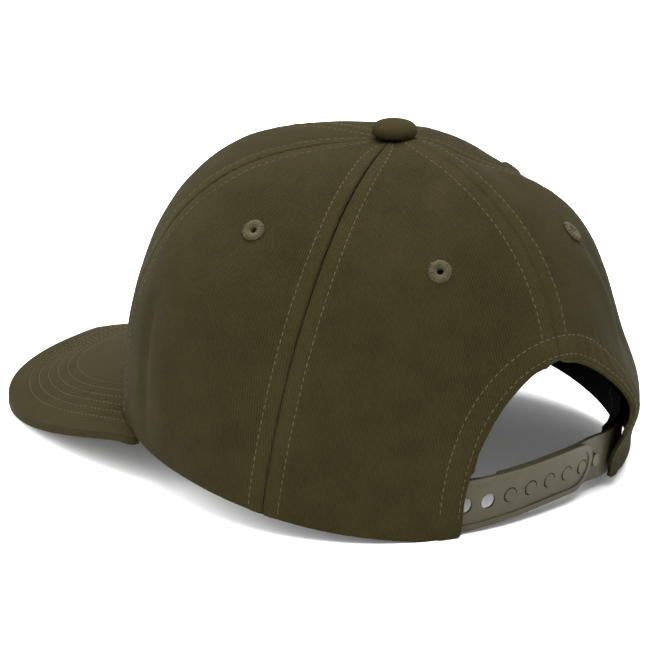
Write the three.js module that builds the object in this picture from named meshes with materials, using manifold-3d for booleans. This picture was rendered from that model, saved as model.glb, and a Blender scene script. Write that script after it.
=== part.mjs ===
import * as THREE from 'three';
import { mergeVertices } from 'three/addons/utils/BufferGeometryUtils.js';
import Module from 'manifold-3d';

// A soft six-panel cap with a flat peak, an arch at the back and a plastic snap strap.
// It stands on its back rim and on the front corners of its peak.
// Millimetres, +Z up. The peak points along -Y and the wearer's left is +X.
// An azimuth is in degrees round the crown: 0 is the front, 90 the wearer's left, 180 the back.

// Crown
const RIM_LENGTH = 174.5;         // front to back along the rim
const RIM_WIDTH = 194;
const RIM_SQUARENESS = 2.13;     // 2 makes the rim an ellipse
const CROWN_HEIGHT = 121.5;      // table to the point where the seams meet
const APEX_SETBACK = 4.4;        // that point lies this far behind the middle of the rim
const FRONT_LIFT = 28.4;         // the front rim above the table
const CLOTH = 1.6;
const SEAM_GAP = 0.3;
const SEAM_DIP = 0.8;            // how deep the cloth pulls in along a seam
const SEAM_DIP_REACH = 9;        // how far beside the seam the dip is felt
const TOP_HOLE_RADIUS = 3.5;     // left open under the button

// Seams between the panels, with the side seams' azimuth at the rim and at the top
const FRONT_SEAM = 59;
const SIDE_SEAM_RIM = 111.7;
const SIDE_SEAM_TOP = 118.4;

// Arch at the back
const ARCH_WIDTH = 76;
const ARCH_HEIGHT = 57.7;
const ARCH_SQUARENESS = 2.05;

// Peak
const PEAK_REACH = 78.7;          // forward of the front rim
const PEAK_THICKNESS = 3;
const PEAK_END = 68.4;           // azimuth where the peak's corners leave the rim
const PEAK_LIP = 4.9;            // how far the corners stand out of the rim
const PEAK_SQUARENESS = 2.36;
const PEAK_FRONT_RISE = 4.7;     // the middle of the front edge above the table
const PEAK_TOUCH = 44.7;         // where the edge meets the table, 0 is the middle, 90 a corner

// Sweatband
const BAND_HEIGHT = 32;
const BAND_THICKNESS = 1.2;
const BAND_LIFT = 0.6;           // above the rim
const BAND_CLEARANCE = 0.7;
const BAND_ARCH_MARGIN = 2;      // how far the band stays back from the arch
const BAND_STEP_IN = [12, 3];    // degrees before the strap where it starts and ends going in

// Button
const BUTTON_RADIUS = 8.3;
const BUTTON_HEIGHT = 6.8;
const BUTTON_BASE = 0.86;        // its flat underside, as a share of the radius
const BUTTON_BULGE = 0.3;        // its widest place, as a share of the height
const BUTTON_SHANK_RADIUS = 2;
const BUTTON_SHANK_LENGTH = 3;
const BUTTON_CLEARANCE = 0.35;

// Eyelets
const EYELET_RADIUS = 4.4;
const EYELET_BORE = 1.2;
const EYELET_BARREL = 1.8;
const EYELET_RAISE = 0.9;
const EYELET_CLEARANCE = 0.3;

// Snap strap
const STRAP_WIDTH = 18.6;
const STRAP_THICKNESS = 1.6;
const STRAP_LIFT = 0.8;          // above the table
const STRAP_CLEARANCE = 0.8;
const STRAP_TONGUE = 12;         // the length held inside each back panel
const STRAP_NARROWING = 0.8;     // the inner strap is this much narrower
const STRAP_RIM = 2.2;           // the raised border round the channel
const CHANNEL_MARGIN = 1;        // between the last hole and the channel's round end
const CHANNEL_DEPTH = 0.5;
const SNAP_SPACING = 9.2;
const HOLE_COUNT = 7;
const FIRST_HOLE = 35.5;         // from the middle of the back towards the wearer's left
const HOLE_RADIUS = 2.8;
const PEG_RADIUS = 2.4;
const FREE_HOLES = 2;            // holes left of the fastened ones, with no peg in them

// One row for each direction round the crown, alike on the left and the right.
// lift is the rim's height as a share of FRONT_LIFT, and where it falls below 0 the cloth lies
// flat on the table. shoulder is how square the profile is, where 2 is round. lean is the share
// of its reach that the profile has pulled in by the top.
const SECTIONS = [
  { azimuth: 0, lift: 1.0, shoulder: 3.57, lean: 0.005 },
  { azimuth: 45, lift: 0.865, shoulder: 3.25, lean: 0.075 },
  { azimuth: 90, lift: 0.49, shoulder: 2.14, lean: -0.02 },
  { azimuth: 135, lift: 0.075, shoulder: 2.2, lean: 0.175 },
  { azimuth: 180, lift: -0.14, shoulder: 2.16, lean: -0.235 },
];

// Soft bulges and dents. up is the place between the rim, 0, and the top, 1. wide is in degrees,
// tall is a share of the same height, and push is a share of RIM_WIDTH, outwards if positive.
const PUFFS = [
  { azimuth: 240, up: 0.75, wide: 24, tall: 0.09, push: -0.019 },
  { azimuth: 222, up: 0.43, wide: 22, tall: 0.13, push: 0.05 },
  { azimuth: 228, up: 0.13, wide: 26, tall: 0.09, push: 0.02 },
  { azimuth: 330, up: 0.7, wide: 30, tall: 0.09, push: -0.015 },
];
const PUFF_CENTRE = 0.35;        // puffs push level below this share of the crown's height

const EYELETS = [
  { name: 'side_left', azimuth: 90, up: 0.555 },
  { name: 'back_left', azimuth: 153, up: 0.508 },
  { name: 'side_right', azimuth: 270, up: 0.555 },
  { name: 'back_right', azimuth: 207, up: 0.508 },
];

// Fineness of the meshes
const PANEL_ROWS = 15;
const PANEL_COLUMNS = 15;
const EDGE_CROWDING = 0.5;       // how far a panel's columns crowd towards its seams
const BAND_ROWS = 5;
const BAND_STEP = 5;
const PEAK_COLUMNS = 37;
const PEAK_ROWS = 6;
const STRAP_STEP = 4;
const ROUND_SIDES = 14;
const ARCH_SIDES = 30;
const BUTTON_STEPS = 6;
const ROUND_END_TURNS = [20, 40, 55, 70, 81];
const NORMAL_STEP = 0.01;
const MERGE_DISTANCE = 1e-4;

const { degToRad, radToDeg, lerp, euclideanModulo, smoothstep } = THREE.MathUtils;
const library = await Module();
library.setup();
const Solid = library.Manifold;

// Plain shapes

function toSolid(geometry) {
  const bare = geometry.clone();
  bare.deleteAttribute('normal');
  bare.deleteAttribute('uv');
  const merged = mergeVertices(bare, MERGE_DISTANCE);
  const index = merged.index.array;
  const corners = [];
  for (let i = 0; i < index.length; i += 3) {
    const [a, b, c] = [index[i], index[i + 1], index[i + 2]];
    if (a !== b && b !== c && c !== a) {
      corners.push(a, b, c);
    }
  }
  return new Solid(new library.Mesh({
    numProp: 3,
    vertProperties: new Float32Array(merged.attributes.position.array),
    triVerts: new Uint32Array(corners),
  }));
}

function toGeometry(solid) {
  const mesh = solid.getMesh();
  const geometry = new THREE.BufferGeometry();
  geometry.setAttribute('position', new THREE.BufferAttribute(mesh.vertProperties, mesh.numProp));
  geometry.setIndex(new THREE.BufferAttribute(mesh.triVerts, 1));
  geometry.computeVertexNormals();
  return geometry;
}

// A closed shell between two grids of points. Columns times rows points out of the front grid.
function shell(front, back) {
  const rows = front.length;
  const columns = front[0].length;
  const positions = [front, back].flatMap((grid) => grid.flat()).flatMap((p) => p.toArray());
  const at = (row, column) => row * columns + column;
  const behind = rows * columns;
  const corners = [];
  for (let row = 0; row < rows - 1; row += 1) {
    for (let column = 0; column < columns - 1; column += 1) {
      const a = at(row, column);
      const b = at(row, column + 1);
      const c = at(row + 1, column + 1);
      const d = at(row + 1, column);
      corners.push(a, b, c, a, c, d);
      corners.push(a + behind, c + behind, b + behind, a + behind, d + behind, c + behind);
    }
  }
  const loop = [];
  for (let column = 0; column < columns - 1; column += 1) {
    loop.push(at(0, column));
  }
  for (let row = 0; row < rows - 1; row += 1) {
    loop.push(at(row, columns - 1));
  }
  for (let column = columns - 1; column > 0; column -= 1) {
    loop.push(at(rows - 1, column));
  }
  for (let row = rows - 1; row > 0; row -= 1) {
    loop.push(at(row, 0));
  }
  loop.forEach((p, i) => {
    const q = loop[(i + 1) % loop.length];
    corners.push(q, p, p + behind, q, p + behind, q + behind);
  });
  const geometry = new THREE.BufferGeometry();
  geometry.setAttribute('position', new THREE.Float32BufferAttribute(positions, 3));
  geometry.setIndex(corners);
  return geometry;
}

// A cylinder along a direction, from one distance to another beyond a point
function rod(point, direction, radius, from, to) {
  const geometry = new THREE.CylinderGeometry(radius, radius, to - from, ROUND_SIDES);
  geometry.rotateX(Math.PI / 2);
  geometry.translate(0, 0, (from + to) / 2);
  geometry.applyQuaternion(facing(direction));
  geometry.translate(point.x, point.y, point.z);
  return toSolid(geometry);
}

function facing(direction) {
  return new THREE.Quaternion().setFromUnitVectors(new THREE.Vector3(0, 0, 1), direction);
}

function spread(count, from, to) {
  return Array.from({ length: count }, (unused, i) => lerp(from, to, i / (count - 1)));
}

// The crown's form

// Smooth value of a column of SECTIONS at any azimuth, mirrored at the front and the back
function section(column, azimuth) {
  const step = SECTIONS[1].azimuth - SECTIONS[0].azimuth;
  const turn = Math.abs(euclideanModulo(azimuth + 180, 360) - 180) / step;
  const last = SECTIONS.length - 1;
  const value = (i) => SECTIONS[last - Math.abs(last - Math.abs(i))][column];
  const i = Math.min(Math.floor(turn), last - 1);
  const t = turn - i;
  const [a, b, c, d] = [value(i - 1), value(i), value(i + 1), value(i + 2)];
  return b + 0.5 * t * (c - a + t * (2 * a - 5 * b + 4 * c - d + t * (3 * (b - c) + d - a)));
}

function rimPoint(azimuth) {
  const angle = degToRad(azimuth);
  const along = Math.abs(Math.cos(angle)) / (RIM_LENGTH / 2);
  const across = Math.abs(Math.sin(angle)) / (RIM_WIDTH / 2);
  const sum = along ** RIM_SQUARENESS + across ** RIM_SQUARENESS;
  const radius = sum ** (-1 / RIM_SQUARENESS);
  const height = Math.max(0, FRONT_LIFT * section('lift', azimuth));
  return new THREE.Vector3(radius * Math.sin(angle), -radius * Math.cos(angle), height);
}

function turnBetween(a, b) {
  return euclideanModulo(a - b + 180, 360) - 180;
}

function seamAzimuths(up) {
  const side = lerp(SIDE_SEAM_RIM, SIDE_SEAM_TOP, up);
  return [0, FRONT_SEAM, side, 180, 360 - side, 360 - FRONT_SEAM, 360];
}

// A point of the crown's outer face, without the seams' dips
function smoothSkin(azimuth, up) {
  const angle = up * Math.PI / 2;
  const shoulder = section('shoulder', azimuth);
  const size = (Math.cos(angle) ** shoulder + Math.sin(angle) ** shoulder) ** (-1 / shoulder);
  const share = size * Math.sin(angle);
  const reach = size * Math.cos(angle) * (1 - section('lean', azimuth) * share);
  const rim = rimPoint(azimuth);
  const point = new THREE.Vector3(
    rim.x * reach,
    lerp(APEX_SETBACK, rim.y, reach),
    lerp(rim.z, CROWN_HEIGHT, share),
  );
  const above = Math.max(0, point.z - PUFF_CENTRE * CROWN_HEIGHT);
  const away = new THREE.Vector3(point.x, point.y - APEX_SETBACK, above).normalize();
  for (const puff of PUFFS) {
    const across = turnBetween(azimuth, puff.azimuth) / puff.wide;
    const along = (up - puff.up) / puff.tall;
    const fade = smoothstep(up, 0, puff.tall);
    const push = puff.push * RIM_WIDTH * Math.exp(-(across ** 2 + along ** 2) / 2);
    point.addScaledVector(away, push * fade);
  }
  return point;
}

function skinNormal(azimuth, up) {
  const low = Math.max(up, NORMAL_STEP);
  const across = smoothSkin(azimuth + 1, low).sub(smoothSkin(azimuth - 1, low));
  const along = smoothSkin(azimuth, low + NORMAL_STEP).sub(smoothSkin(azimuth, low - NORMAL_STEP));
  return across.cross(along).normalize();
}

function apexDistance(point) {
  return Math.hypot(point.x, point.y - APEX_SETBACK);
}

// A point of the crown at a depth below its outer face. The seams dip above the sweatband.
function skin(azimuth, up, depth = 0) {
  const point = smoothSkin(azimuth, up);
  const normal = skinNormal(azimuth, up);
  const radius = apexDistance(point);
  const nearest = Math.min(...seamAzimuths(up).map((seam) => Math.abs(turnBetween(azimuth, seam))));
  const beside = degToRad(nearest) * radius / SEAM_DIP_REACH;
  const aboveRim = point.z - rimPoint(azimuth).z;
  const fade = smoothstep(aboveRim, BAND_LIFT + BAND_HEIGHT, 2 * BAND_HEIGHT);
  const dip = SEAM_DIP * Math.exp(-(beside ** 2)) * fade;
  const moved = point.addScaledVector(normal, -dip - depth);
  if (up === 0) {
    moved.z = rimPoint(azimuth).z;
  }
  return moved;
}

// The place between the rim and the top where the crown reaches a height
function upAtHeight(azimuth, height) {
  const rim = rimPoint(azimuth).z;
  const share = Math.max(0, (height - rim) / (CROWN_HEIGHT - rim));
  const shoulder = section('shoulder', azimuth);
  return Math.atan2(share, (1 - share ** shoulder) ** (1 / shoulder)) / (Math.PI / 2);
}

// A point of the wall at a height, moved level towards the inside
function wallPoint(azimuth, height, depth) {
  const up = upAtHeight(azimuth, height);
  const point = smoothSkin(azimuth, up);
  const outward = skinNormal(azimuth, up).setZ(0).normalize();
  point.addScaledVector(outward, -depth);
  point.z = height;
  return point;
}

// Parts

function archCutter(margin) {
  const outline = new THREE.Shape();
  const halfWidth = ARCH_WIDTH / 2 + margin;
  const height = ARCH_HEIGHT + margin;
  const power = 2 / ARCH_SQUARENESS;
  outline.moveTo(halfWidth, -height);
  for (const angle of spread(ARCH_SIDES + 1, 0, Math.PI)) {
    const x = Math.sign(Math.cos(angle)) * Math.abs(Math.cos(angle)) ** power;
    outline.lineTo(halfWidth * x, height * Math.abs(Math.sin(angle)) ** power);
  }
  outline.lineTo(-halfWidth, -height);
  const geometry = new THREE.ExtrudeGeometry(outline, { depth: RIM_LENGTH, bevelEnabled: false });
  geometry.rotateX(Math.PI / 2);
  geometry.translate(0, RIM_LENGTH, 0);
  return toSolid(geometry);
}

function panel(first) {
  const topUp = 1 - TOP_HOLE_RADIUS / (RIM_WIDTH / 2) / (Math.PI / 2);
  const ups = spread(PANEL_ROWS, 0, topUp);
  const edgeShares = spread(PANEL_COLUMNS, 0, 1).map((share) => (
    lerp(share, (1 - Math.cos(share * Math.PI)) / 2, EDGE_CROWDING)
  ));
  const grid = (depth) => ups.map((up) => {
    const seams = seamAzimuths(up);
    const radius = apexDistance(smoothSkin(seams[first], up));
    const margin = radToDeg(Math.asin(SEAM_GAP / 2 / radius));
    const [from, to] = [seams[first] + margin, seams[first + 1] - margin];
    return edgeShares.map((share) => skin(lerp(from, to, share), up, depth));
  });
  let solid = toSolid(shell(grid(0), grid(CLOTH)));
  for (const { azimuth, up } of EYELETS) {
    const seams = seamAzimuths(up);
    if (azimuth > seams[first] && azimuth < seams[first + 1]) {
      const radius = EYELET_BARREL + EYELET_CLEARANCE;
      const reach = 3 * CLOTH;
      const hole = rod(skin(azimuth, up), skinNormal(azimuth, up), radius, -reach, reach);
      solid = solid.subtract(hole);
    }
  }
  return solid;
}

function eyelet() {
  const bottom = -CLOTH - EYELET_CLEARANCE;
  const outline = [
    [EYELET_BORE, bottom],
    [EYELET_BARREL, bottom],
    [EYELET_BARREL, EYELET_CLEARANCE],
    [EYELET_RADIUS, EYELET_CLEARANCE],
    [EYELET_RADIUS, EYELET_CLEARANCE + EYELET_RAISE / 2],
    [(EYELET_RADIUS + EYELET_BORE) / 2, EYELET_CLEARANCE + EYELET_RAISE],
    [EYELET_BORE, EYELET_CLEARANCE + EYELET_RAISE / 2],
    [EYELET_BORE, bottom],
  ];
  const points = outline.map(([radius, height]) => new THREE.Vector2(radius, height));
  const geometry = new THREE.LatheGeometry(points, ROUND_SIDES);
  geometry.rotateX(Math.PI / 2);
  return toSolid(geometry);
}

function button() {
  const points = [
    new THREE.Vector2(0, -BUTTON_SHANK_LENGTH),
    new THREE.Vector2(BUTTON_SHANK_RADIUS, -BUTTON_SHANK_LENGTH),
    new THREE.Vector2(BUTTON_SHANK_RADIUS, 0),
    new THREE.Vector2(BUTTON_RADIUS * BUTTON_BASE, 0),
  ];
  for (const share of spread(BUTTON_STEPS, 0, 1)) {
    const angle = share * Math.PI / 2;
    const height = BUTTON_HEIGHT * lerp(BUTTON_BULGE, 1, Math.sin(angle));
    points.push(new THREE.Vector2(BUTTON_RADIUS * Math.cos(angle), height));
  }
  points[points.length - 1].x = 0;
  const geometry = new THREE.LatheGeometry(points, 2 * ROUND_SIDES);
  geometry.rotateX(Math.PI / 2);
  return toSolid(geometry);
}

function peakEdge(turn) {
  const corner = rimPoint(PEAK_END);
  const angle = degToRad(turn);
  const power = 2 / PEAK_SQUARENESS;
  const across = Math.sign(angle) * Math.abs(Math.sin(angle)) ** power;
  const forward = Math.max(0, Math.cos(angle)) ** power;
  const x = (corner.x + PEAK_LIP) * across;
  const y = lerp(corner.y, -RIM_LENGTH / 2 - PEAK_REACH, forward);
  const cornerRise = corner.z - SEAM_GAP - PEAK_THICKNESS;
  const beyond = (Math.abs(turn) - PEAK_TOUCH) / (90 - PEAK_TOUCH);
  const before = (PEAK_TOUCH - Math.abs(turn)) / PEAK_TOUCH;
  const rise = beyond > 0 ? cornerRise * beyond ** 2 : PEAK_FRONT_RISE * before ** 2;
  return new THREE.Vector3(x, y, rise + PEAK_THICKNESS);
}

function peak() {
  const turns = spread(PEAK_COLUMNS, -90, 90);
  const top = spread(PEAK_ROWS, 0, 1).map((share) => turns.map((turn) => {
    const azimuth = PEAK_END * turn / 90;
    const root = skin(azimuth, 0, CLOTH);
    root.z -= SEAM_GAP;
    return root.lerp(peakEdge(turn), share);
  }));
  const underside = top.map((row) => row.map((p) => p.clone().setZ(p.z - PEAK_THICKNESS)));
  return toSolid(shell(underside, top));
}

function sweatband() {
  const strapStart = 180 - backTurn(ARCH_WIDTH / 2 + STRAP_TONGUE);
  const end = 180 - backTurn(SNAP_SPACING);
  const ownDepth = CLOTH + BAND_CLEARANCE;
  const strapDepth = CLOTH + STRAP_CLEARANCE + STRAP_THICKNESS + BAND_CLEARANCE;
  const azimuths = spread(Math.round(2 * end / BAND_STEP) + 1, -end, end);
  const [stepStart, stepEnd] = BAND_STEP_IN.map((before) => strapStart - before);
  const grid = (depth) => spread(BAND_ROWS, 0, 1).map((share) => azimuths.map((azimuth) => {
    const low = rimPoint(azimuth).z + BAND_LIFT;
    const shift = smoothstep(Math.abs(azimuth), stepStart, stepEnd);
    return wallPoint(azimuth, low + BAND_HEIGHT * share, lerp(ownDepth, strapDepth, shift) + depth);
  }));
  return toSolid(shell(grid(0), grid(BAND_THICKNESS))).subtract(archCutter(BAND_ARCH_MARGIN));
}

// Degrees round the back for a length along it
function backTurn(length) {
  return radToDeg(length / (RIM_LENGTH / 2));
}

// A bent strip of strap from one place to another, measured from the middle of the back towards
// the wearer's left. Its right end is round when roundEnd is set.
function strapStrip({ left, right, halfWidth, outer, thickness, roundEnd }) {
  const straightEnd = roundEnd ? right + halfWidth : right;
  const count = Math.ceil((left - straightEnd) / STRAP_STEP) + 1;
  const stations = spread(count, left, straightEnd).map((place) => ({ place, half: halfWidth }));
  if (roundEnd) {
    for (const angle of ROUND_END_TURNS.map(degToRad)) {
      stations.push({
        place: straightEnd - halfWidth * Math.sin(angle),
        half: halfWidth * Math.cos(angle),
      });
    }
  }
  const middle = STRAP_LIFT + STRAP_WIDTH / 2;
  const grid = (depth) => [-1, 0, 1].map((side) => stations.map(({ place, half }) => {
    const azimuth = 180 - backTurn(place);
    return wallPoint(azimuth, middle + side * half, outer(place) + depth);
  }));
  return toSolid(shell(grid(0), grid(thickness)));
}

function strapRod(place, depth, radius, from, to) {
  const azimuth = 180 - backTurn(place);
  const middle = STRAP_LIFT + STRAP_WIDTH / 2;
  const point = wallPoint(azimuth, middle, depth);
  const outward = skinNormal(azimuth, upAtHeight(azimuth, middle)).setZ(0).normalize();
  return rod(point, outward, radius, from, to);
}

const outerDepth = CLOTH + STRAP_CLEARANCE;
const overlapDepth = outerDepth + STRAP_THICKNESS + STRAP_CLEARANCE;
const lastHole = FIRST_HOLE - SNAP_SPACING * (HOLE_COUNT - 1);
const outerEnd = lastHole - HOLE_RADIUS - CHANNEL_MARGIN - STRAP_RIM;
const firstPeg = FIRST_HOLE - SNAP_SPACING * FREE_HOLES;

// The inner strap lies behind the outer one and comes out to the panel beyond its end
function innerDepth(place) {
  const panelEdge = -ARCH_WIDTH / 2;
  return lerp(outerDepth, overlapDepth, smoothstep(place, panelEdge, outerEnd));
}

function outerStrap() {
  const left = ARCH_WIDTH / 2 + STRAP_TONGUE;
  let solid = strapStrip({
    left,
    right: outerEnd,
    halfWidth: STRAP_WIDTH / 2,
    outer: () => outerDepth,
    thickness: STRAP_THICKNESS,
    roundEnd: true,
  });
  const channel = strapStrip({
    left: FIRST_HOLE + HOLE_RADIUS + STRAP_RIM,
    right: outerEnd + STRAP_RIM,
    halfWidth: STRAP_WIDTH / 2 - STRAP_RIM,
    outer: () => outerDepth - CHANNEL_DEPTH,
    thickness: 2 * CHANNEL_DEPTH,
    roundEnd: true,
  });
  solid = solid.subtract(channel);
  for (let i = 0; i < HOLE_COUNT; i += 1) {
    const place = FIRST_HOLE - SNAP_SPACING * i;
    const reach = 2 * STRAP_THICKNESS;
    solid = solid.subtract(strapRod(place, outerDepth, HOLE_RADIUS, -reach, reach));
  }
  return solid;
}

function innerStrap() {
  let solid = strapStrip({
    left: firstPeg + SNAP_SPACING / 2,
    right: -ARCH_WIDTH / 2 - STRAP_TONGUE,
    halfWidth: (STRAP_WIDTH - STRAP_NARROWING) / 2,
    outer: innerDepth,
    thickness: STRAP_THICKNESS,
    roundEnd: false,
  });
  const lastPeg = -ARCH_WIDTH / 2 + PEG_RADIUS + STRAP_RIM;
  for (let place = firstPeg; place > lastPeg; place -= SNAP_SPACING) {
    const depth = innerDepth(place);
    const height = STRAP_THICKNESS + STRAP_CLEARANCE - CHANNEL_DEPTH / 2;
    solid = solid.add(strapRod(place, depth, PEG_RADIUS, -STRAP_THICKNESS / 2, height));
  }
  return solid;
}

// Materials

function material(color, roughness) {
  return new THREE.MeshStandardMaterial({ color, roughness, metalness: 0 });
}

const OLIVE = 0x423d26;
const OLIVE_BUTTON = 0x4a4530;
const OLIVE_THREAD = 0x5c563f;
const OLIVE_PLASTIC = 0x58523e;
const BLACK = 0x0a0a0b;

// The assembled cap

const cap = new THREE.Group();

function addPart(name, solid, finish) {
  const mesh = new THREE.Mesh(toGeometry(solid), finish);
  mesh.name = name;
  cap.add(mesh);
  return mesh;
}

const PANEL_NAMES = [
  'front_panel_left',
  'side_panel_left',
  'back_panel_left',
  'back_panel_right',
  'side_panel_right',
  'front_panel_right',
];
PANEL_NAMES.forEach((name, i) => {
  const whole = panel(i);
  const solid = name.startsWith('back') ? whole.subtract(archCutter(0)) : whole;
  addPart(name, solid, material(OLIVE, 0.95));
});

addPart('peak', peak(), material(OLIVE, 0.95));
addPart('sweatband', sweatband(), material(BLACK, 0.95));

const topButton = addPart('top_button', button(), material(OLIVE_BUTTON, 0.9));
topButton.position.set(0, APEX_SETBACK, CROWN_HEIGHT + BUTTON_CLEARANCE);

for (const { name, azimuth, up } of EYELETS) {
  const ring = addPart(`eyelet_${name}`, eyelet(), material(OLIVE_THREAD, 0.85));
  ring.position.copy(skin(azimuth, up));
  ring.quaternion.copy(facing(skinNormal(azimuth, up)));
}

addPart('snap_strap_outer', outerStrap(), material(OLIVE_PLASTIC, 0.55));
addPart('snap_strap_inner', innerStrap(), material(OLIVE_PLASTIC, 0.55));

// The origin is on the table, below the middle of the cap's length and width
const middle = new THREE.Box3().setFromObject(cap).getCenter(new THREE.Vector3());
cap.position.set(-middle.x, -middle.y, 0);

export default cap;
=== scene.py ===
"""Soft goods, stitching and finishes of a panelled cap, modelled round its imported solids.

Metres, +Z up. The peak points along -Y and the wearer's left is +X. An azimuth is in degrees
round the crown: 0 is the front, 90 the wearer's left, 180 the back. Up is the place between the
rim, 0, and the top of the crown, 1.
"""

import math

import bmesh
import bpy
import numpy as np
from bpy.props import FloatProperty, FloatVectorProperty, IntProperty, PointerProperty
from mathutils import Matrix, Quaternion, Vector, noise


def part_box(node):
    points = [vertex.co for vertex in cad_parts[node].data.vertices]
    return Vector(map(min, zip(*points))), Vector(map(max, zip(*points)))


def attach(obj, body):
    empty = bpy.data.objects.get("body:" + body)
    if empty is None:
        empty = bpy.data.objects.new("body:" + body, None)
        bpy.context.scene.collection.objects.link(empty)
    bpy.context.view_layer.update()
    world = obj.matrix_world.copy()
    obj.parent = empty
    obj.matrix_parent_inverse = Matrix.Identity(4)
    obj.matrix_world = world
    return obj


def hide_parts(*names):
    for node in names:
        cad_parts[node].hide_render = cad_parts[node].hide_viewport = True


bl_info = {
    "name": "Panelled cap",
    "version": (1, 0, 0),
    "blender": (4, 5, 0),
    "location": "View3D > Sidebar > Cap",
    "description": "Models a soft cap with a stitched peak, eyelets and a snap strap",
    "category": "Object",
}

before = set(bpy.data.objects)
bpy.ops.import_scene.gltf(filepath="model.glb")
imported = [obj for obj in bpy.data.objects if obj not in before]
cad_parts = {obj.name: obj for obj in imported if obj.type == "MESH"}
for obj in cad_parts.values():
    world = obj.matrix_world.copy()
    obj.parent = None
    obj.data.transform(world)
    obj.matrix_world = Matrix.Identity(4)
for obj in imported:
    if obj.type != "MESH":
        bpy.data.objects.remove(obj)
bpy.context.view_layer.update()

# One row for each direction round the crown, alike on the left and the right. lift is the rim's
# height as a share of front_lift, shoulder is how square the profile is, and lean is the share
# of its reach that it has pulled in by the top.
SECTIONS = (
    {"azimuth": 0, "lift": 1.0, "shoulder": 3.57, "lean": 0.005},
    {"azimuth": 45, "lift": 0.865, "shoulder": 3.25, "lean": 0.075},
    {"azimuth": 90, "lift": 0.49, "shoulder": 2.14, "lean": -0.02},
    {"azimuth": 135, "lift": 0.075, "shoulder": 2.2, "lean": 0.175},
    {"azimuth": 180, "lift": -0.14, "shoulder": 2.16, "lean": -0.235},
)
SECTION_STEP = 45

# Soft bulges and dents: wide in degrees, tall as a share of up, push as a share of rim_width
PUFFS = (
    {"azimuth": 240, "up": 0.75, "wide": 24, "tall": 0.09, "push": -0.019},
    {"azimuth": 222, "up": 0.43, "wide": 22, "tall": 0.13, "push": 0.05},
    {"azimuth": 228, "up": 0.13, "wide": 26, "tall": 0.09, "push": 0.02},
    {"azimuth": 330, "up": 0.7, "wide": 30, "tall": 0.09, "push": -0.015},
)
PUFF_CENTRE = 0.35

HITCH = 0.0036       # how far the right foot of the arch stands off the table
FULLNESS = 0.0003    # of the cloth all over, clear of the rim

# Gentle fullness of the cloth: wide in degrees, tall as a share of up, push in metres
SWELLS = (
    {"azimuth": 227, "up": 0.6, "wide": 17, "tall": 0.12, "push": 0.0019},
    {"azimuth": 215, "up": 0.85, "wide": 40, "tall": 0.1, "push": 0.0013},
    {"azimuth": 45, "up": 0.58, "wide": 25, "tall": 0.13, "push": -0.0009},
    {"azimuth": 0, "up": 1.0, "wide": 1000, "tall": 0.06, "push": 0.0012},
    {"azimuth": 225, "up": 0.13, "wide": 13, "tall": 0.08, "push": 0.0022},
    {"azimuth": 20, "up": 0.3, "wide": 30, "tall": 0.2, "push": 0.0006},
)

# The hem of the arch stands out between two ranges of height, more on the right
FLARE = {"low": (0.008, 0.032), "high": (0.032, 0.06), "reach": 0.02,
         "left": 0.0, "right": 0.0082}

# Creases in the cloth, each along a line between two places. Depth is negative for a ridge.
CREASES = (
    {"start": (72, 0.32), "end": (77, 0.03), "width": 0.0035, "depth": 0.0014},
    {"start": (79, 0.34), "end": (85, 0.04), "width": 0.005, "depth": -0.0005},
    {"start": (212, 0.46), "end": (222, 0.24), "width": 0.005, "depth": 0.0018},
    {"start": (205, 0.44), "end": (213, 0.26), "width": 0.006, "depth": -0.0012},
    {"start": (66, 0.62), "end": (88, 0.5), "width": 0.008, "depth": 0.0007},
    {"start": (128, 0.2), "end": (146, 0.12), "width": 0.008, "depth": 0.0006},
)

EYELETS = (
    {"name": "side_left", "azimuth": 90, "up": 0.555},
    {"name": "back_left", "azimuth": 153, "up": 0.508},
    {"name": "side_right", "azimuth": 270, "up": 0.555},
    {"name": "back_right", "azimuth": 207, "up": 0.508},
)

PANELS = (
    "front_panel_left",
    "side_panel_left",
    "back_panel_left",
    "back_panel_right",
    "side_panel_right",
    "front_panel_right",
)

HEM_EDGE_ROW = 0.0018    # from the arch's edge to the stitching beside it

# How far a seam draws its cloth in: a broad dip and a narrow press, less at the middle back
SEAM = {"dip": 0.0008, "press": 0.00099}
BACK_SEAM = {"dip": 0.0002, "press": 0.000088}
DIP_REACH = 0.009
PRESS_REACH = 0.075          # as a share of the seam allowance
ALLOWANCE_RAISE = 0.0003     # of the cloth that lies over a seam allowance
STITCH_DIMPLE = 0.0003       # of the cloth under a row of stitches
PUCKER = {"push": 0.00012, "pitch": 0.0073, "drift": 0.041}
FOLD = {"reach": 0.0009, "turn_in": 0.0007}    # a folded edge turns in over its reach
HEM_RAISE = 0.0005
HEM_WAVE = {"push": 0.00012, "degrees": 3.4}
UNEVEN_CLOTH = ({"push": 0.0007, "wave": 0.036, "seed": 2},
                {"push": 0.00022, "wave": 0.011, "seed": 5})
UNEVEN_PEAK = {"push": 0.00018, "wave": 0.02, "seed": 9}

# Distances from the peak's edge at which its cloth has lines of vertices, and those beside a row
PEAK_EDGE_STOPS = (0, 0.0009, 0.0018, 0.003, 0.0045, 0.006)
ROW_STOPS = (-0.0009, -0.00045, 0, 0.00045, 0.0009)
ROW_GROOVE = {"depth": 0.00032, "width": 0.0005}
PEAK_LAID_FLAT = 1.55    # length of the peak laid flat, from its corners, over its reach
PEAK_COLUMNS = 205       # of the peak's grid, and points along its outline
OUTLINE_POINTS = 1641
TAIL_TURN = 12           # degrees of turn added at both ends of the peak's edge
CORNER_DROP = 0.0003     # of the peak's corners below the rim
TABLE_GAP = 0.00005      # between the cloth and the table
SHARP = 35               # degrees from which an edge of the strap is a sharp one

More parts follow.
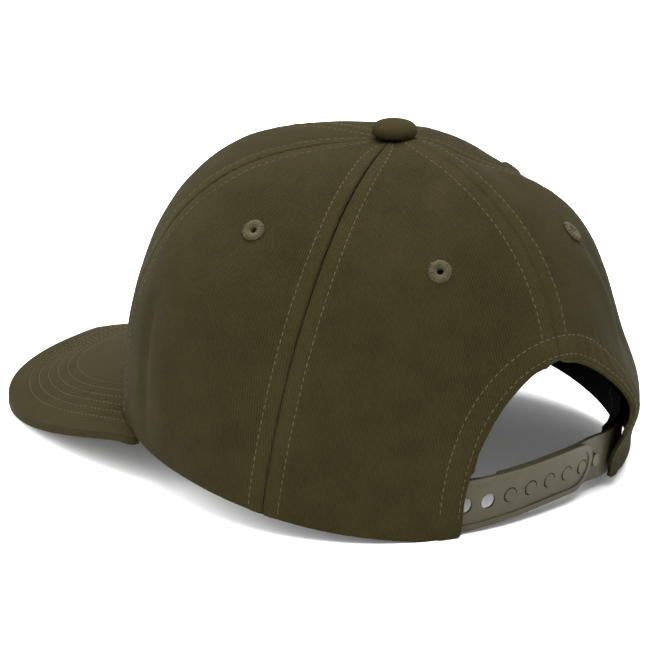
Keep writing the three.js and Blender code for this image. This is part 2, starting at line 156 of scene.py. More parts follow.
# Heights of the sweatband's rows, with a ridge under its topstitching
BAND_ROWS = (0, 0.0006, 0.0015, 0.003, 0.006, 0.012, 0.018, 0.024, 0.0275, 0.0285, 0.0295,
             0.031, 0.0315, 0.032)
BAND_RIDGE_ROW = 9
BAND_GAP = 0.0009        # between the sweatband and the cloth
BAND_RISE = 0.0006       # of the sweatband's lower edge above the rim
# The band's ends step in behind the strap, between two angles from its end. Its right end moves
# out with the hem above the strap, between two heights.
BAND_STEP = {"in": 0.0024, "from": 14, "to": 4}
BAND_FOLLOW = {"out": 0.006, "degrees": 8, "low": 0.021, "high": 0.026}
UNEVEN_BAND = {"push": 0.0003, "wave": 0.02, "seed": 4}

# Lengths of the covered button, but for its waist, a share of its height, and its pleats
BUTTON = {"foot": 0.0009, "waist": 0.44, "post": 0.002, "post_depth": 0.003, "pleats": 19,
          "pleat": 0.00014}
EYELET_LOOPS = 46        # of thread round each eyelet
LOOP_WIDTH = 0.00052
LOOP_HEIGHT = 0.00062

LIGHTS = (
    {"name": "key", "place": (0.3, 0.4, 1.7), "size": 1.6, "power": 66},
    {"name": "fill", "place": (1.2, -0.9, 1.4), "size": 1.4, "power": 16},
    {"name": "top", "place": (-0.4, -0.5, 1.8), "size": 1.6, "power": 46},
    {"name": "spill", "place": (1.5, -1.5, 0.9), "size": 2.4, "power": 90},
)
LIGHT_AIM = (0, 0, 0.05)
CAMERA_PIVOT = (0, 0.04, 0.06)
CAMERA_AIM = (0.0174, 0.0271, 0.0504)

SIDE_GRID = {"columns": 40, "rows": 84}    # of a panel, between its crowded columns and rows
BACK_GRID = {"columns": 96, "rows": 96}
FLAT_STEP = 2      # degrees between the places at which the flat cloth is measured
FLAT_ROWS = 100    # and how many rows of them lie between the rim and the top

# Where a panel's columns stand beside a seam, as shares of the way to the topstitching
SEAM_COLUMNS = (0, 0.08, 0.18, 0.32, 0.55, 0.8, 0.92, 1, 1.08, 1.22, 1.5)
# Heights of a panel's lowest rows, above its edge
EDGE_ROWS = (0, 0.0002, 0.0005, 0.0009, 0.0015, 0.0022, 0.003, 0.004, 0.0052, 0.0065, 0.008)


def measure(name, default, description):
    return FloatProperty(
        name=name, description=description, default=default, min=0, precision=4, unit="LENGTH"
    )


def number(name, default, description):
    return FloatProperty(
        name=name, description=description, default=default, precision=3, unit="NONE"
    )


def colour(name, default, description):
    return FloatVectorProperty(
        name=name, description=description, default=default, size=3, min=0, max=1, subtype="COLOR"
    )


class CapCrownSizes(bpy.types.PropertyGroup):
    rim_length: measure("Rim length", 0.1745, "Front to back along the rim")
    rim_width: measure("Rim width", 0.194, "Across the rim")
    rim_squareness: number("Rim squareness", 2.13, "2 makes the rim an ellipse")
    crown_height: measure("Crown height", 0.1215, "Table to the place where the seams meet")
    apex_setback: measure("Apex setback", 0.0044, "From the rim's middle back to the top")
    front_lift: measure("Front lift", 0.0284, "The front rim above the table")
    cloth: measure("Cloth", 0.0016, "Thickness of the cloth")
    top_hole: measure("Top hole", 0.0035, "Radius left open under the button")
    front_seam: number("Front seam", 59, "Azimuth of the seam beside the front, degrees")
    side_seam_rim: number("Side seam at the rim", 111.7, "Azimuth in degrees")
    side_seam_top: number("Side seam at the top", 118.4, "Azimuth in degrees")
    arch_width: measure("Arch width", 0.076, "Of the opening at the back")
    arch_height: measure("Arch height", 0.0577, "Of the opening at the back")
    arch_squareness: number("Arch squareness", 2.05, "2 makes the arch half an ellipse")


class CapPeakSizes(bpy.types.PropertyGroup):
    reach: measure("Reach", 0.0787, "Forward of the front rim")
    thickness: measure("Thickness", 0.003, "Of the peak with its cloth")
    end: number("End", 68.4, "Azimuth where the corners leave the rim, degrees")
    tail: number("Tail", 3.2, "Past the corners until the edge meets the rim, degrees")
    lip: measure("Lip", 0.0049, "How far the corners stand out of the rim")
    squareness: number("Squareness", 2.36, "2 makes the outline half an ellipse")
    front_rise: measure("Front rise", 0.0047, "The middle of the front edge above the table")
    touch: number("Touch", 44.7, "Where the edge meets the table, in degrees of its turn")
    row_count: IntProperty(
        name="Stitch rows", description="Rows of topstitching along the edge", default=6, min=0,
        subtype="UNSIGNED",
    )
    row_margin: measure("Row margin", 0.0082, "From the edge to the first stitch row")
    row_spacing: measure("Row spacing", 0.0037, "Between two stitch rows")


class CapTrimSizes(bpy.types.PropertyGroup):
    band_height: measure("Band height", 0.032, "Of the sweatband")
    band_thickness: measure("Band thickness", 0.0012, "Of the sweatband")
    button_radius: measure("Button radius", 0.0083, "Of the covered button")
    button_height: measure("Button height", 0.0068, "Of the covered button")
    eyelet_radius: measure("Eyelet radius", 0.0044, "Of the sewn ring")
    eyelet_bore: measure("Eyelet bore", 0.0012, "Radius of the hole")
    eyelet_raise: measure("Eyelet raise", 0.0011, "How far the thread stands out of the cloth")
    allowance: measure("Seam allowance", 0.0056, "From a seam to the topstitching beside it")
    hem_width: measure("Hem width", 0.0088, "From the arch's edge to its outer stitching")
    stitch: measure("Stitch", 0.0021, "Length of one stitch")
    stitch_gap: measure("Stitch gap", 0.0005, "Between two stitches")
    thread: measure("Thread", 0.0004, "Diameter of the sewing thread")


class CapColours(bpy.types.PropertyGroup):
    cloth: colour("Cloth", (0.0235, 0.0192, 0.0064), "The twill's raised threads")
    cloth_dark: colour("Cloth shade", (0.0085, 0.0068, 0.0018), "Between the twill's threads")
    thread: colour("Thread", (0.052, 0.044, 0.02), "Topstitching")
    eyelet: colour("Eyelet", (0.043, 0.037, 0.0175), "Embroidery thread of the eyelets")
    band: colour("Band", (0.0015, 0.0015, 0.0016), "Sweatband")
    band_thread: colour("Band thread", (0.012, 0.012, 0.012), "The sweatband's stitching")
    plastic: colour("Plastic", (0.037, 0.032, 0.0165), "Snap strap")
    floor: colour("Floor", (0.9, 0.9, 0.9), "The pale floor")


class CapStageSettings(bpy.types.PropertyGroup):
    azimuth: number("Azimuth", 135.57, "Of the camera, from the front, degrees")
    elevation: number("Elevation", 17.28, "Of the camera above the horizon, degrees")
    distance: measure("Distance", 1.1608, "From the camera to the cap's middle")
    lens: number("Lens", 174.95, "Focal length in millimetres")
    roll: number("Roll", 1.25, "Of the camera about its line of sight, degrees")


def settings(name):
    return getattr(bpy.context.scene, name)


# The crown's form


def section(column, azimuth):
    """Smooth value of a column of SECTIONS at any azimuth, mirrored at the front and the back."""
    values = np.array([row[column] for row in SECTIONS])
    last = len(values) - 1
    turn = np.abs((azimuth + 180) % 360 - 180) / SECTION_STEP
    i = np.minimum(turn.astype(int), last - 1)
    t = turn - i
    a, b, c, d = (values[last - np.abs(last - np.abs(i + k))] for k in (-1, 0, 1, 2))
    return b + 0.5 * t * (c - a + t * (2 * a - 5 * b + 4 * c - d + t * (3 * (b - c) + d - a)))


def smoothstep(x, low, high):
    t = np.clip((x - low) / (high - low), 0, 1)
    return t * t * (3 - 2 * t)


def mix(a, b, t):
    return a + (b - a) * t


def unit(vectors):
    return vectors / np.linalg.norm(vectors, axis=-1, keepdims=True)


def bell(x, width):
    return np.exp(-((x / width) ** 2))


def felt(form, azimuth, up):
    """How strongly a row of PUFFS or SWELLS is felt at a place, 1 at its middle."""
    around = ((azimuth - form["azimuth"] + 180) % 360 - 180) / form["wide"]
    along = (up - form["up"]) / form["tall"]
    return np.exp(-(around**2 + along**2) / 2)


class Crown:
    """The crown's outer face. Its methods take arrays of azimuths and ups."""

    def __init__(self):
        self.size = settings("cap_crown")
        low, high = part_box("top_button")
        self.apex = np.array([(low.x + high.x) / 2, (low.y + high.y) / 2])
        self.middle = self.apex - (0, self.size.apex_setback)
        around = np.arange(0, 361, float(FLAT_STEP))
        azimuth, up = np.meshgrid(around, np.linspace(0, 1, FLAT_ROWS + 1))
        points = self.smooth(azimuth, up)
        self.around = lengths(points)
        self.down = lengths(points[::-1].transpose(1, 0, 2)).T[::-1]

    def weave(self, azimuth, up, middle):
        """Where the cloth lies when it is flat: across from an azimuth, and down from the top."""
        def look_up(table, azimuth):
            column = np.clip(azimuth, 0, 360) / FLAT_STEP
            row = np.clip(up, 0, 1) * FLAT_ROWS
            i = np.minimum(column.astype(int), table.shape[1] - 2)
            j = np.minimum(row.astype(int), table.shape[0] - 2)
            t, k = column - i, row - j
            low = mix(table[j, i], table[j, i + 1], t)
            return mix(low, mix(table[j + 1, i], table[j + 1, i + 1], t), k)

        across = look_up(self.around, azimuth) - look_up(self.around, middle + 0 * azimuth)
        return np.stack([across, -look_up(self.down, azimuth)], -1)

    def rim(self, azimuth):
        s = self.size
        angle = np.radians(azimuth)
        power = s.rim_squareness
        along = np.abs(np.cos(angle)) / (s.rim_length / 2)
        across = np.abs(np.sin(angle)) / (s.rim_width / 2)
        radius = (along**power + across**power) ** (-1 / power)
        height = np.maximum(0, s.front_lift * section("lift", azimuth))
        x = self.middle[0] + radius * np.sin(angle)
        y = self.middle[1] - radius * np.cos(angle)
        return np.stack([x, y, height], -1)

    def smooth(self, azimuth, up):
        azimuth, up = np.broadcast_arrays(np.asarray(azimuth, float), np.asarray(up, float))
        angle = np.clip(up, 0, 1) * math.pi / 2
        power = section("shoulder", azimuth)
        size = (np.cos(angle) ** power + np.sin(angle) ** power) ** (-1 / power)
        share = size * np.sin(angle)
        reach = size * np.cos(angle) * (1 - section("lean", azimuth) * share)
        rim = self.rim(azimuth)
        point = np.empty(rim.shape)
        point[..., 0] = mix(self.apex[0], rim[..., 0], reach)
        point[..., 1] = mix(self.apex[1], rim[..., 1], reach)
        point[..., 2] = mix(rim[..., 2], self.size.crown_height, share)
        above = np.maximum(0, point[..., 2] - PUFF_CENTRE * self.size.crown_height)
        sides = point[..., :2] - self.apex
        away = unit(np.concatenate([sides, above[..., None]], -1))
        for puff in PUFFS:
            push = puff["push"] * self.size.rim_width * felt(puff, azimuth, up)
            point += away * (push * smoothstep(up, 0, puff["tall"]))[..., None]
        return point

    def normal(self, azimuth, up):
        low = np.clip(up, 0.01, 0.985)
        across = self.smooth(azimuth + 1, low) - self.smooth(azimuth - 1, low)
        along = self.smooth(azimuth, low + 0.01) - self.smooth(azimuth, low - 0.01)
        return unit(np.cross(across, along))

    def seams(self, up):
        s = self.size
        side = mix(s.side_seam_rim, s.side_seam_top, up)
        return (0 * up, s.front_seam + 0 * up, side, 180 + 0 * up, 360 - side,
                360 - s.front_seam + 0 * up, 360 + 0 * up)

    def up_at(self, azimuth, height):
        """The place between the rim and the top where the crown reaches a height."""
        rim = self.rim(azimuth)[..., 2]
        share = np.clip((height - rim) / (self.size.crown_height - rim), 0, 0.9999)
        power = section("shoulder", azimuth)
        return np.arctan2(share, (1 - share**power) ** (1 / power)) / (math.pi / 2)

    def arch_edge(self, count):
        """Azimuths and ups of the arch's left edge, from its foot to its top."""
        s = self.size
        angle = np.linspace(0, math.pi / 2, count)
        x = s.arch_width / 2 * np.cos(angle) ** (2 / s.arch_squareness)
        z = s.arch_height * np.sin(angle) ** (2 / s.arch_squareness)
        tries = np.linspace(180, 140, 400)
        azimuth = []
        for across, height in zip(x, z):
            points = self.smooth(tries, self.up_at(tries, height))
            azimuth.append(np.interp(across, points[:, 0], tries))
        azimuth = np.array(azimuth)
        return azimuth, self.up_at(azimuth, z)

    def top_up(self):
        return 1 - self.size.top_hole / (self.size.rim_width / 2) / (math.pi / 2)


def fullness(azimuth, up):
    """How far the cloth stands out of the crown's form."""
    out = FULLNESS * smoothstep(up, 0.08, 0.4)
    for swell in SWELLS:
        out = out + swell["push"] * felt(swell, azimuth, up)
    return out


def hitch(points):
    """Raises the back's right side a little, the way that the cap sits."""
    x, y, z = points[..., 0], points[..., 1], points[..., 2]
    share = smoothstep(-x, -0.045, 0.012) * (1 - smoothstep(-x, 0.062, 0.094))
    share = share * smoothstep(y, 0.07, 0.118) * (1 - smoothstep(z, 0.012, 0.085))
    raised = points.copy()
    raised[..., 2] += HITCH * share
    return raised


def lengths(points):
    """Length along each row of points from its first one."""
    steps = np.linalg.norm(np.diff(points, axis=-2), axis=-1)
    start = np.zeros(steps.shape[:-1] + (1,))
    return np.concatenate([start, np.cumsum(steps, -1)], -1)


def nearest(points, path):
    """Distance from each point to the nearest one of a path."""
    flat = points.reshape(-1, 3)
    found = np.empty(len(flat))
    for i in range(0, len(flat), 4000):
        gap = flat[i:i + 4000, None] - path[None]
        found[i:i + 4000] = np.sqrt((gap**2).sum(-1).min(1))
    return found.reshape(points.shape[:-1])


def unevenness(points, push, wave, seed):
    """Seeded smooth noise at each point, up to a push either way."""
    shift = Vector((seed * 7.3, seed * 3.1, seed * 5.7))
    flat = points.reshape(-1, 3) / wave
    values = [noise.noise(Vector(p) + shift) for p in flat]
    return push * np.array(values).reshape(points.shape[:-1])


def grid_area(points):
    """Area of a surface from its grid of points."""
    a = points[1:, 1:] - points[:-1, :-1]
    b = points[1:, :-1] - points[:-1, 1:]
    return float(np.linalg.norm(np.cross(a, b), axis=-1).sum() / 2)


def eyelet_place(crown, eyelet):
    """An eyelet's centre on the cloth, and the direction that it faces."""
    azimuth, up = np.array(float(eyelet["azimuth"])), np.array(float(eyelet["up"]))
    out = crown.normal(azimuth, up)
    return Vector(crown.smooth(azimuth, up) + out * fullness(azimuth, up)), Vector(out)


class PanelCut:
    """Where the cloth of one panel lies: its grid of azimuths and ups, and its points."""

    def __init__(self, crown, index):
        self.crown = crown
        self.index = index
        self.back = PANELS[index].startswith("back")
        self.mirrored = index >= len(PANELS) // 2
        # every panel is laid out as one on the wearer's left, and mirrored at the end
        self.first = len(PANELS) - 1 - index if self.mirrored else index
        grid = BACK_GRID if self.back else SIDE_GRID
        self.bottom = self.bottom_line()
        height = float(lengths(self.place(np.full(300, 0.5), np.linspace(0, 1, 300)))[-1])
        low = np.array(EDGE_ROWS) / height
        t = np.concatenate([low, np.linspace(low[-1], 1, grid["rows"])[1:]])
        rows = [self.row(share, grid["columns"]) for share in t]
        self.azimuth = np.array([row[0] for row in rows])
        self.up = np.array([row[1] for row in rows])
        self.allowance = np.array([row[2] for row in rows])[:, None]
        if self.mirrored:
            self.azimuth = (360 - self.azimuth)[:, ::-1]
            self.up = self.up[:, ::-1]
        self.points = crown.smooth(self.azimuth, self.up)
        self.normals = crown.normal(self.azimuth, self.up)
        self.from_start = lengths(self.points)
        self.from_end = self.from_start[:, -1:] - self.from_start
        self.from_rim = lengths(self.points.transpose(1, 0, 2)).T
        far = np.ones(self.azimuth.shape)
        self.from_arch = nearest(self.points, self.arch_line()) if self.back else far

    def bottom_line(self):
        """Azimuths and ups along the panel's lower edge, evenly spaced."""
        crown = self.crown
        if not self.back:
            azimuth = np.linspace(*(float(s) for s in crown.seams(0.0)[self.first:][:2]), 200)
            return azimuth, np.zeros(200)
        arch_azimuth, arch_up = crown.arch_edge(160)
        rim_azimuth = np.linspace(float(crown.seams(0.0)[2]), arch_azimuth[0], 120)[:-1]
        azimuth = np.concatenate([rim_azimuth, arch_azimuth])
        up = np.concatenate([np.zeros(len(rim_azimuth)), arch_up])
        along = lengths(crown.smooth(azimuth, up))
        even = np.linspace(0, along[-1], 400)
        azimuth, up = np.interp(even, along, azimuth), np.interp(even, along, up)
        # the corner at the arch's foot is rounded
        for _ in range(60):
            azimuth[1:-1] = (azimuth[:-2] + 2 * azimuth[1:-1] + azimuth[2:]) / 4
            up[1:-1] = (up[:-2] + 2 * up[1:-1] + up[2:]) / 4
        return azimuth, up

    def coordinates(self, s, t):
        shares = np.linspace(0, 1, len(self.bottom[0]))
        low_azimuth = np.interp(s, shares, self.bottom[0])
        low_up = np.interp(s, shares, self.bottom[1])
        top = self.crown.top_up()
        ends = self.crown.seams(top)
        high_azimuth = mix(float(ends[self.first]), float(ends[self.first + 1]), s)
        up = mix(low_up, top, t)
        return mix(low_azimuth, high_azimuth, up / top), up

    def place(self, s, t):
        return self.crown.smooth(*self.coordinates(s, t))

    def row(self, t, middle_columns):
        """A row's azimuths and ups, with its columns crowded beside the seams."""
        s = np.linspace(0, 1, 300)
        along = lengths(self.place(s, t))
        width = along[-1]
        # the allowance narrows smoothly where the panel itself gets narrow
        allowance = (settings("cap_trim").allowance**-4 + (0.27 * width) ** -4) ** -0.25
        beside = np.array(SEAM_COLUMNS) * allowance
        between = np.linspace(beside[-1], width - beside[-1], middle_columns)[1:-1]
        stops = np.concatenate([beside, between, (width - beside)[::-1]])
        azimuth, up = self.coordinates(np.interp(stops, along, s), t)
        return azimuth, up, allowance

    def relief(self):
        """How far the cloth stands out of the smooth form, and how much of it is a ridge."""
        above = self.points[..., 2] - self.crown.rim(self.azimuth)[..., 2]
        seam_out, seam_ridge = self.seam_relief(above)
        edge_out, edge_ridge = self.edge_relief()
        out = seam_out + edge_out + fullness(self.azimuth, self.up) - self.crease_depth()
        calm = (1 - smoothstep(self.up, 0.93, 0.98)) * smoothstep(above, 0, 0.012)
        for uneven in UNEVEN_CLOTH:
            out += unevenness(self.points, **uneven) * calm
        # the ridge share is painted lighter by the twill, as a highlight on the raised cloth
        return np.maximum(out, -self.crown.size.cloth), np.clip(seam_ridge + edge_ridge, 0, 1)

    def seam_relief(self, above):
        """Both seams of the panel, with the allowances and the topstitching beside them."""
        trim = settings("cap_trim")
        fade = smoothstep(above, trim.band_height, 2 * trim.band_height)
        deep = 0.55 + 0.45 * smoothstep(self.up, 0.2, 0.6)
        clear = smoothstep(self.from_arch, trim.hem_width * 0.8, trim.hem_width * 1.2)
        turns = 2 * math.pi * self.from_rim
        strength = PUCKER["push"] * (0.6 + 0.4 * np.sin(turns / PUCKER["drift"] + self.index))
        out = np.zeros(self.azimuth.shape)
        ridge = np.zeros(self.azimuth.shape)
        for distance in (self.from_start, self.from_end):
            drawn = BACK_SEAM if self.back and distance is self.inner_side() else SEAM
            share = distance / self.allowance
            raised = 1 - smoothstep(share, 1.0, 1.25)
            pucker = smoothstep(share, 0.2, 0.7) * (1 - smoothstep(share, 1.1, 1.9))
            lift = ALLOWANCE_RAISE * raised
            lift -= drawn["press"] * bell(share, PRESS_REACH) * deep
            lift -= STITCH_DIMPLE * bell(share - 1, 0.09) * clear
            lift += strength * pucker * np.sin(turns / PUCKER["pitch"] + 3 * share)
            out += lift * self.allowance / trim.allowance
            out -= drawn["dip"] * bell(distance, DIP_REACH) * fade
            ridge += raised * smoothstep(share, 0.05, 0.3) * 0.5
        return out, ridge

    def edge_relief(self):
        """The folded edges, and the hem of the arch with its two rows of stitches."""
        edge, hem = self.from_arch, settings("cap_trim").hem_width
        from_rim = nearest(self.points, self.rim_line()) if self.back else self.from_rim
        out = np.zeros(edge.shape)
        for distance in (edge, from_rim):
            near = np.clip(distance / FOLD["reach"], 0, 1)
            out -= FOLD["turn_in"] * (1 - np.sqrt(1 - (1 - near) ** 2))
        raised = 1 - smoothstep(edge, hem, hem + 0.0012)
        out += HEM_RAISE * raised
        for line in (HEM_EDGE_ROW, hem):
            out -= STITCH_DIMPLE * bell(edge - line, 0.0006)
        wave = HEM_WAVE["push"] * np.sin(2 * math.pi * self.azimuth / HEM_WAVE["degrees"])
        out += wave * (1 - smoothstep(edge, hem, 2 * hem)) * smoothstep(edge, 0, 0.003)
        if self.back:
            height = self.points[..., 2]
            window = smoothstep(height, *FLARE["low"]) * (1 - smoothstep(height, *FLARE["high"]))
            push = FLARE["right" if self.mirrored else "left"]
            out += push * window * bell(edge, FLARE["reach"])
        return out, raised * 0.5

    def crease_depth(self):
        """How far the creases press the cloth in, each one fading out towards its ends."""
        depth = np.zeros(self.azimuth.shape)
        for crease in CREASES:
            line = self.crown.smooth(*np.linspace(crease["start"], crease["end"], 60).T)
            reach = 1.3 * np.linalg.norm(line[0] - line[-1]) / 2
            fall = np.linalg.norm(self.points - line[30], axis=-1) / reach
            shape = bell(nearest(self.points, line), crease["width"])
            depth += crease["depth"] * shape * np.clip(1 - fall**2, 0, 1)
        return depth

    def inner_side(self):
        """Distances from the seam at the middle of the back."""
        return self.from_start if self.mirrored else self.from_end

    def line(self, azimuth, up):
        """A line of places on the crown, mirrored with its panel."""
        return self.crown.smooth(360 - azimuth if self.mirrored else azimuth, up)

    def arch_line(self):
        return self.line(*self.crown.arch_edge(300))

    def rim_line(self):
        foot = float(self.crown.arch_edge(3)[0][0])
        return self.line(np.linspace(self.crown.seams(0.0)[2], foot, 200), np.zeros(200))

    def flat(self):
        """Width, length and area of the panel laid flat."""
        width = float(self.from_start[:, -1].max())
        length = float(lengths(self.points[:, self.points.shape[1] // 2])[-1])
        area = grid_area(self.points)
        return width, max(length, area / width / 0.98), area


# Meshes


def grid_mesh(columns, rows):
    """A flat grid in a bmesh, with its vertices row by row."""
    bm = bmesh.new()
    bm.verts.layers.float.new("ridge")
    bm.loops.layers.uv.new("weave")
    bmesh.ops.create_grid(bm, x_segments=columns - 1, y_segments=rows - 1, size=0.5)
    order = sorted(bm.verts, key=lambda v: (round(v.co.y, 6), round(v.co.x, 6)))
    return bm, order


def placed(name, data):
    """A new object in the scene."""
    thing = bpy.data.objects.new(name, data)
    bpy.context.scene.collection.objects.link(thing)
    return thing


def riding(name, mesh, material):
    """A smooth object in the scene that rides on the frame."""
    mesh.shade_smooth()
    piece = placed(name, mesh)
    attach(piece, "root")
    mesh.materials.append(material)
    return piece


def finish(bm, name, node, material):
    """Turns a bmesh into the piece that stands for a node of the frame."""
    mesh = bpy.data.meshes.new(name)
    bm.to_mesh(mesh)
    bm.free()
    piece = riding(name, mesh, material)
    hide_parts(node)
    return piece


def cloth_mesh(points, uv, ridge=None):
    """One face of a cloth piece from a grid of points, with its own UV map in metres."""
    rows, columns = points.shape[:2]
    bm, order = grid_mesh(columns, rows)
    flat_points, flat_uv = points.reshape(-1, 3), uv.reshape(-1, 2)
    ridge_layer = bm.verts.layers.float["ridge"]
    uv_layer = bm.loops.layers.uv["weave"]
    places = {}
    for i, vertex in enumerate(order):
        vertex.co = flat_points[i]
        places[vertex] = flat_uv[i]
        if ridge is not None:
            vertex[ridge_layer] = ridge.flat[i]
    for face in bm.faces:
        for loop in face.loops:
            loop[uv_layer].uv = places[loop.vert]
    return bm


def weave_from_above(bm):
    """Lays a UV map in metres over a form that is seen mostly from above."""
    layers = bm.loops.layers.uv
    layer = layers.get("weave") or layers.new("weave")
    for face in bm.faces:
        for loop in face.loops:
            place = loop.vert.co
            loop[layer].uv = (place.x + 0.7 * place.z, place.y - 0.7 * place.z)


def spin(bm, profile, steps, closed=False):
    """Turns a profile of radii and heights about Z."""
    verts = [bm.verts.new((x, 0, z)) for x, z in profile]
    following = verts[1:] + verts[:1] if closed else verts[1:]
    edges = [bm.edges.new(pair) for pair in zip(verts, following)]
    bmesh.ops.spin(bm, geom=verts + edges, cent=(0, 0, 0), axis=(0, 0, 1),
                   angle=2 * math.pi, steps=steps, use_merge=True)
    bmesh.ops.remove_doubles(bm, verts=bm.verts[:], dist=1e-6)
    bmesh.ops.recalc_face_normals(bm, faces=bm.faces[:])


def thicken(piece, thickness):
    wall = piece.modifiers.new("Thickness", "SOLIDIFY")
    wall.thickness = thickness
    wall.offset = -1
    wall.use_even_offset = False


def round_edges(piece, width, segments, degrees):
    rounding = piece.modifiers.new("Round edges", "BEVEL")
    rounding.width = width
    rounding.segments = segments
    rounding.limit_method = "ANGLE"
    rounding.angle_limit = math.radians(degrees)


def sew(lines, name, material):
    """One mesh of all the stitches of some lines. Each stitch is a short pinched thread."""
    origins, axes = (np.concatenate(parts) for parts in zip(*lines))
    bm = bmesh.new()
    bmesh.ops.create_icosphere(bm, subdivisions=1, radius=0.5)
    bm.verts.index_update()
    base = np.array([v.co for v in bm.verts])
    faces = [[v.index for v in face.verts] for face in bm.faces]
    bm.free()
    points = np.einsum("vk,nkc->nvc", base, axes) + origins[:, None]
    starts = np.arange(len(origins)) * len(base)
    mesh = bpy.data.meshes.new(name)
    polygons = [[i + start for i in face] for start in starts for face in faces]
    mesh.from_pydata(points.reshape(-1, 3).tolist(), [], polygons)
    riding(name, mesh, material)


def stitch_places(points, normals, sink=0.35):
    """Origins and axes of even stitches along a line of points."""
    trim = settings("cap_trim")
    along = lengths(points)
    pitch = trim.stitch + trim.stitch_gap
    count = max(2, int(along[-1] / pitch))
    stops = (np.arange(count) + 0.5) / count * along[-1]

    def at(values, where):
        return np.stack([np.interp(where, along, values[:, k]) for k in range(3)], -1)

    middle = at(points, stops)
    tangent = unit(at(points, stops + trim.stitch / 2) - at(points, stops - trim.stitch / 2))
    out = unit(at(normals, stops))
    side = unit(np.cross(out, tangent))
    out = np.cross(tangent, side)
    axes = np.stack([tangent * trim.stitch, side * trim.thread, out * trim.thread], 1)
    return middle + out * trim.thread * (0.5 - sink), axes


# Materials


class Shade:
    """A socket's value in a material's nodes, which the usual operators build on."""

    def __init__(self, nodes, socket):
        self.nodes = nodes
        self.socket = socket

    def math(self, operation, *values):
        return self.nodes.add("ShaderNodeMath", {"operation": operation}, dict(enumerate(values)))

    def __add__(self, other):
        return self.math("ADD", self, other)

    def __sub__(self, other):
        return self.math("SUBTRACT", self, other)

    def __rsub__(self, other):
        return self.math("SUBTRACT", other, self)

    def __mul__(self, other):
        return self.math("MULTIPLY", self, other)

    def __truediv__(self, other):
        return self.math("DIVIDE", self, other)

    __radd__ = __add__
    __rmul__ = __mul__

    def sine(self):
        return self.math("SINE", self)

    def clamped(self):
        return self.math("MINIMUM", self.math("MAXIMUM", self, 0.0), 1.0)


class Nodes:
    """The nodes of a new material, which end in a Principled shader."""

    def __init__(self, name):
        self.material = bpy.data.materials.new(name)
        self.material.use_nodes = True
        self.tree = self.material.node_tree
        self.tree.nodes.clear()
        self.shader = self.tree.nodes.new("ShaderNodeBsdfPrincipled")
        output = self.tree.nodes.new("ShaderNodeOutputMaterial")
        self.tree.links.new(self.shader.outputs[0], output.inputs[0])
        self.body = self.add("ShaderNodeTexCoord", output=3)

    def feed(self, node, inputs):
        for key, value in inputs.items():
            if isinstance(value, Shade):
                self.tree.links.new(value.socket, node.inputs[key])
            else:
                node.inputs[key].default_value = value

    def add(self, kind, options=None, inputs=None, output=0):
        node = self.tree.nodes.new(kind)
        for key, value in (options or {}).items():
            setattr(node, key, value)
        self.feed(node, inputs or {})
        return Shade(self, node.outputs[output])

    def blend(self, share, low, high):
        options = {"data_type": "RGBA"}
        return self.add("ShaderNodeMix", options, {0: share, 6: low, 7: high}, output=2)

    def noise(self, scale, detail):
        inputs = {"Vector": self.body, "Scale": scale, "Detail": detail, "Roughness": 0.5}
        return self.add("ShaderNodeTexNoise", {}, inputs)

    def weave(self):
        """Where a spot lies on the flat cloth: across it and along it."""
        place = self.add("ShaderNodeUVMap", {"uv_map": "weave"})
        across = self.add("ShaderNodeSeparateXYZ", {}, {0: place})
        return across, Shade(self, across.socket.node.outputs[1])

    def bump(self, strength, distance, height):
        inputs = {"Strength": strength, "Distance": distance, "Height": height}
        return self.add("ShaderNodeBump", {}, inputs)

    def surface(self, inputs):
        self.feed(self.shader, inputs)
        return self.material


def opaque(rgb, factor=1.0):
    return (*(min(1.0, c * factor) for c in rgb), 1.0)


TWILL_WALE = 0.00098     # between two of the twill's diagonal ridges
TWILL_STEEPNESS = math.radians(79)
TWILL_THREAD = 0.0007    # between two threads across a ridge
BAND_WEAVE = 0.0009
TWILL_RELIEF = 0.00022


def twill(name, light, dark, lean=1.0, contrast=1.0):
    """Cotton twill: steep diagonal ridges made of short threads, uneven, with a painted highlight
    on the raised seams and hem.
    """
    nodes = Nodes(name)
    u, v = nodes.weave()
    drift = nodes.noise(260.0, 3.0) - 0.5
    across = u * (lean * math.sin(TWILL_STEEPNESS)) + v * math.cos(TWILL_STEEPNESS)
    along = v * math.sin(TWILL_STEEPNESS) - u * (lean * math.cos(TWILL_STEEPNESS))
    wale = (across / TWILL_WALE + drift * 0.45) * (2 * math.pi)
    thread = (along / TWILL_THREAD + across / TWILL_WALE * 0.5) * (2 * math.pi)
    ridge = (wale.sine() * 0.5 + 0.5) * (thread.sine() * 0.22 + 0.78)
    slub = nodes.noise(900.0, 2.0)
    patches = nodes.noise(26.0, 3.0)
    fine_patches = nodes.noise(95.0, 3.0)
    share = ((ridge - 0.45) * (0.5 * contrast) + 0.23 + slub * 0.6 + (patches - 0.5) * 0.5
             + (fine_patches - 0.5) * 0.5 - 0.02).clamped()
    # painted highlight: cloth raised over a seam allowance or the hem is lightened unevenly,
    # towards 1.55 times the light colour
    fibre = nodes.add("ShaderNodeAttribute", {"attribute_name": "ridge"}, output=2)
    painted_ridge_highlight = (fibre * (0.1 + slub * 0.22)).clamped()
    base = nodes.blend(painted_ridge_highlight, nodes.blend(share, opaque(dark), opaque(light)), opaque(light, 1.55))
    return nodes.surface({
        "Base Color": base,
        "Roughness": 0.97 - ridge * 0.08,
        "Normal": nodes.bump(0.85, TWILL_RELIEF * contrast, ridge * 0.8 + slub * 0.5),
        "Specular IOR Level": 0.05,
        "Sheen Weight": 0.012,
        "Sheen Roughness": 0.45,
        "Sheen Tint": opaque((0.62, 0.6, 0.42)),
    })


